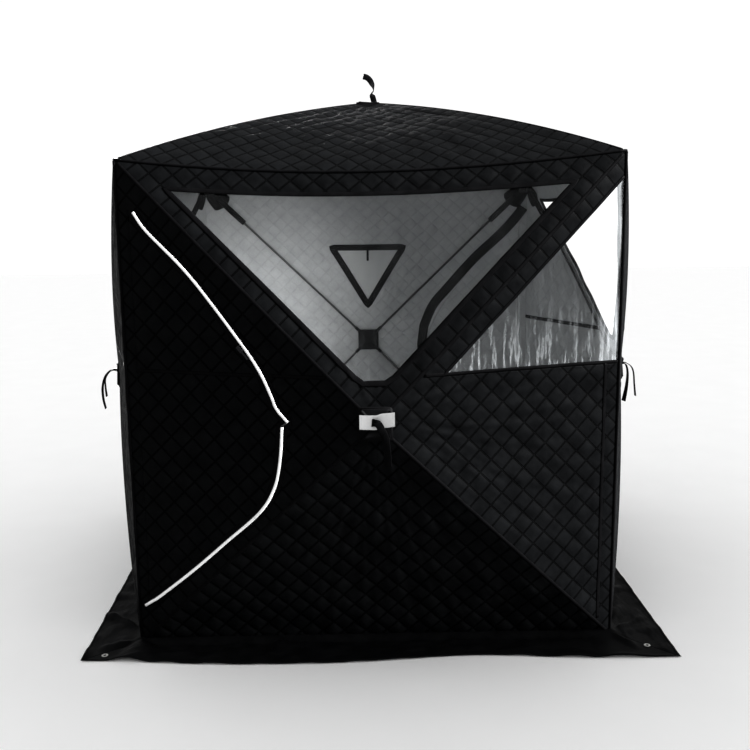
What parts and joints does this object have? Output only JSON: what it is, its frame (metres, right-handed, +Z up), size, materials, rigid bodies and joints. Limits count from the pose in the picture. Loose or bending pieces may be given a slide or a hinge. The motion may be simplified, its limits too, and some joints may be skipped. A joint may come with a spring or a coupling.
{
  "type": "ice fishing shelter",
  "caption": "Hub-style insulated ice fishing shelter: quilted walls and roof popped out by sprung poles and hubs, zip doors, clear windows, vent hood and snow skirt.",
  "frame": {"origin": "on the ice under the middle of the shelter, at the centre of the bounding box's underside", "axes": "+Z up, -Y towards the front wall with the wide window and the left-hand door, +X to the right as seen from the front"},
  "size_m": [2.514, 2.514, 2.22],
  "materials": {
    "quilted_cloth": "matte quilted coated polyester",
    "window_vinyl": "clear flexible vinyl",
    "patch_cloth": "heavy coated cloth",
    "webbing": "woven polyester webbing",
    "fibreglass_rod": "satin glass-fibre rod",
    "hub_plastic": "moulded nylon",
    "seam_binding": "woven seam binding",
    "boot_plastic": "moulded nylon",
    "eyelet_metal": "plated eyelet",
    "skirt_cloth": "coated oxford cloth",
    "zip_metal": "black-coated zip slider",
    "hood_cloth": "coated oxford cloth"
  },
  "bodies": {
    "root": {"seam_piping": "seam_binding", "corner_boots": "boot_plastic", "front_skirt": "skirt_cloth", "right_skirt": "skirt_cloth", "back_skirt": "skirt_cloth", "left_skirt": "skirt_cloth", "skirt_grommets": "eyelet_metal"},
    "front_hub_body": {"front_hub": "hub_plastic", "front_hub_patch": "patch_cloth", "front_pull_strap": "webbing"},
    "front_top": {"front_panel_top": "quilted_cloth", "front_top_window": "window_vinyl"},
    "front_bottom": {"front_panel_bottom": "quilted_cloth"},
    "front_left": {"front_panel_left": "quilted_cloth", "front_poles_left": "fibreglass_rod"},
    "front_right": {"front_panel_right": "quilted_cloth", "front_poles_right": "fibreglass_rod", "front_side_window": "window_vinyl"},
    "right_hub_body": {"right_hub": "hub_plastic", "right_hub_patch": "patch_cloth", "right_pull_strap": "webbing"},
    "right_top": {"right_panel_top": "quilted_cloth", "right_top_window": "window_vinyl"},
    "right_bottom": {"right_panel_bottom": "quilted_cloth"},
    "right_left": {"right_panel_left": "quilted_cloth", "right_poles_left": "fibreglass_rod"},
    "right_right": {"right_panel_right": "quilted_cloth", "right_poles_right": "fibreglass_rod"},
    "back_hub_body": {"back_hub": "hub_plastic", "back_hub_patch": "patch_cloth", "back_pull_strap": "webbing"},
    "back_top": {"back_panel_top": "quilted_cloth"},
    "back_bottom": {"back_panel_bottom": "quilted_cloth"},
    "back_left": {"back_panel_left": "quilted_cloth", "back_poles_left": "fibreglass_rod"},
    "back_right": {"back_panel_right": "quilted_cloth", "back_poles_right": "fibreglass_rod"},
    "left_hub_body": {"left_hub": "hub_plastic", "left_hub_patch": "patch_cloth", "left_pull_strap": "webbing"},
    "left_top": {"left_panel_top": "quilted_cloth"},
    "left_bottom": {"left_panel_bottom": "quilted_cloth"},
    "left_left": {"left_panel_left": "quilted_cloth", "left_poles_left": "fibreglass_rod"},
    "left_right": {"left_panel_right": "quilted_cloth", "left_poles_right": "fibreglass_rod"},
    "roof_hub_body": {"roof_hub": "hub_plastic", "roof_hub_patch": "patch_cloth", "roof_pull_strap": "webbing"},
    "roof_back": {"roof_panel_back": "quilted_cloth"},
    "roof_front": {"roof_panel_front": "quilted_cloth"},
    "roof_left": {"roof_panel_left": "quilted_cloth", "roof_poles_left": "fibreglass_rod"},
    "roof_right": {"roof_panel_right": "quilted_cloth", "roof_poles_right": "fibreglass_rod"},
    "front_door_body": {"front_door": "quilted_cloth"},
    "front_slider_body": {"front_zip_slider": "zip_metal"},
    "back_door_body": {"back_door": "quilted_cloth"},
    "back_slider_body": {"back_zip_slider": "zip_metal"},
    "vent_hood_body": {"vent_hood": "hood_cloth"}
  },
  "joints": [
    {"name": "front_hub_pop", "type": "slide", "parent": "root", "child": "front_hub_body", "axis": [0, 1, 0], "range_m": [0, 0.55]},
    {"name": "front_top_fold", "type": "hinge", "parent": "root", "child": "front_top", "pos_m": [0, -0.9, 1.8], "axis": [1, 0, 0], "range_deg": [0, 33.99]},
    {"name": "front_bottom_fold", "type": "hinge", "parent": "root", "child": "front_bottom", "pos_m": [0, -0.9, 0], "axis": [-1, 0, 0], "range_deg": [0, 33.99]},
    {"name": "front_left_fold", "type": "hinge", "parent": "root", "child": "front_left", "pos_m": [-0.9, -0.9, 0.9], "axis": [0, 0, 1], "range_deg": [0, 33.99]},
    {"name": "front_right_fold", "type": "hinge", "parent": "root", "child": "front_right", "pos_m": [0.9, -0.9, 0.9], "axis": [0, 0, -1], "range_deg": [0, 33.99]},
    {"name": "right_hub_pop", "type": "slide", "parent": "root", "child": "right_hub_body", "axis": [-1, 0, 0], "range_m": [0, 0.55]},
    {"name": "right_top_fold", "type": "hinge", "parent": "root", "child": "right_top", "pos_m": [0.9, 0, 1.8], "axis": [0, 1, 0], "range_deg": [0, 33.99]},
    {"name": "right_bottom_fold", "type": "hinge", "parent": "root", "child": "right_bottom", "pos_m": [0.9, 0, 0], "axis": [0, -1, 0], "range_deg": [0, 33.99]},
    {"name": "right_left_fold", "type": "hinge", "parent": "root", "child": "right_left", "pos_m": [0.9, -0.9, 0.9], "axis": [0, 0, 1], "range_deg": [0, 33.99]},
    {"name": "right_right_fold", "type": "hinge", "parent": "root", "child": "right_right", "pos_m": [0.9, 0.9, 0.9], "axis": [0, 0, -1], "range_deg": [0, 33.99]},
    {"name": "back_hub_pop", "type": "slide", "parent": "root", "child": "back_hub_body", "axis": [0, -1, 0], "range_m": [0, 0.55]},
    {"name": "back_top_fold", "type": "hinge", "parent": "root", "child": "back_top", "pos_m": [0, 0.9, 1.8], "axis": [-1, 0, 0], "range_deg": [0, 33.99]},
    {"name": "back_bottom_fold", "type": "hinge", "parent": "root", "child": "back_bottom", "pos_m": [0, 0.9, 0], "axis": [1, 0, 0], "range_deg": [0, 33.99]},
    {"name": "back_left_fold", "type": "hinge", "parent": "root", "child": "back_left", "pos_m": [0.9, 0.9, 0.9], "axis": [0, 0, 1], "range_deg": [0, 33.99]},
    {"name": "back_right_fold", "type": "hinge", "parent": "root", "child": "back_right", "pos_m": [-0.9, 0.9, 0.9], "axis": [0, 0, -1], "range_deg": [0, 33.99]},
    {"name": "left_hub_pop", "type": "slide", "parent": "root", "child": "left_hub_body", "axis": [1, 0, 0], "range_m": [0, 0.55]},
    {"name": "left_top_fold", "type": "hinge", "parent": "root", "child": "left_top", "pos_m": [-0.9, 0, 1.8], "axis": [0, -1, 0], "range_deg": [0, 33.99]},
    {"name": "left_bottom_fold", "type": "hinge", "parent": "root", "child": "left_bottom", "pos_m": [-0.9, 0, 0], "axis": [0, 1, 0], "range_deg": [0, 33.99]},
    {"name": "left_left_fold", "type": "hinge", "parent": "root", "child": "left_left", "pos_m": [-0.9, 0.9, 0.9], "axis": [0, 0, 1], "range_deg": [0, 33.99]},
    {"name": "left_right_fold", "type": "hinge", "parent": "root", "child": "left_right", "pos_m": [-0.9, -0.9, 0.9], "axis": [0, 0, -1], "range_deg": [0, 33.99]},
    {"name": "roof_hub_pop", "type": "slide", "parent": "root", "child": "roof_hub_body", "axis": [0, 0, -1], "range_m": [0, 0.61]},
    {"name": "roof_back_fold", "type": "hinge", "parent": "root", "child": "roof_back", "pos_m": [0, 0.9, 1.8], "axis": [1, 0, 0], "range_deg": [0, 37.45]},
    {"name": "roof_front_fold", "type": "hinge", "parent": "root", "child": "roof_front", "pos_m": [0, -0.9, 1.8], "axis": [-1, 0, 0], "range_deg": [0, 37.45]},
    {"name": "roof_left_fold", "type": "hinge", "parent": "root", "child": "roof_left", "pos_m": [-0.9, 0, 1.8], "axis": [0, 1, 0], "range_deg": [0, 37.45]},
    {"name": "roof_right_fold", "type": "hinge", "parent": "root", "child": "roof_right", "pos_m": [0.9, 0, 1.8], "axis": [0, -1, 0], "range_deg": [0, 37.45]},
    {"name": "front_door_swing", "type": "hinge", "parent": "front_left", "child": "front_door_body", "pos_m": [-0.856, -0.91453, 0.9], "axis": [0, 0, -1], "range_deg": [0, 100]},
    {"name": "front_zip_run", "type": "slide", "parent": "front_left", "child": "front_slider_body", "axis": [-0.6286, 0.1924, 0.7535], "range_m": [0, 0.3]},
    {"name": "back_door_swing", "type": "hinge", "parent": "back_left", "child": "back_door_body", "pos_m": [0.856, 0.91453, 0.9], "axis": [0, 0, -1], "range_deg": [0, 100]},
    {"name": "back_zip_run", "type": "slide", "parent": "back_left", "child": "back_slider_body", "axis": [0.6286, -0.1924, 0.7535], "range_m": [0, 0.3]},
    {"name": "vent_hood_lift", "type": "hinge", "parent": "back_top", "child": "vent_hood_body", "pos_m": [0, 1.02727, 1.472], "axis": [1, 0, 0], "range_deg": [0, 35]}
  ],
  "couplings": [
    {"joint": "front_top_fold", "follows": "front_hub_pop", "rad_per_m": 1.0783},
    {"joint": "front_bottom_fold", "follows": "front_hub_pop", "rad_per_m": 1.0783},
    {"joint": "front_left_fold", "follows": "front_hub_pop", "rad_per_m": 1.0783},
    {"joint": "front_right_fold", "follows": "front_hub_pop", "rad_per_m": 1.0783},
    {"joint": "right_top_fold", "follows": "right_hub_pop", "rad_per_m": 1.0783},
    {"joint": "right_bottom_fold", "follows": "right_hub_pop", "rad_per_m": 1.0783},
    {"joint": "right_left_fold", "follows": "right_hub_pop", "rad_per_m": 1.0783},
    {"joint": "right_right_fold", "follows": "right_hub_pop", "rad_per_m": 1.0783},
    {"joint": "back_top_fold", "follows": "back_hub_pop", "rad_per_m": 1.0783},
    {"joint": "back_bottom_fold", "follows": "back_hub_pop", "rad_per_m": 1.0783},
    {"joint": "back_left_fold", "follows": "back_hub_pop", "rad_per_m": 1.0783},
    {"joint": "back_right_fold", "follows": "back_hub_pop", "rad_per_m": 1.0783},
    {"joint": "left_top_fold", "follows": "left_hub_pop", "rad_per_m": 1.0783},
    {"joint": "left_bottom_fold", "follows": "left_hub_pop", "rad_per_m": 1.0783},
    {"joint": "left_left_fold", "follows": "left_hub_pop", "rad_per_m": 1.0783},
    {"joint": "left_right_fold", "follows": "left_hub_pop", "rad_per_m": 1.0783},
    {"joint": "roof_back_fold", "follows": "roof_hub_pop", "rad_per_m": 1.0713},
    {"joint": "roof_front_fold", "follows": "roof_hub_pop", "rad_per_m": 1.0713},
    {"joint": "roof_left_fold", "follows": "roof_hub_pop", "rad_per_m": 1.0713},
    {"joint": "roof_right_fold", "follows": "roof_hub_pop", "rad_per_m": 1.0713}
  ]
}
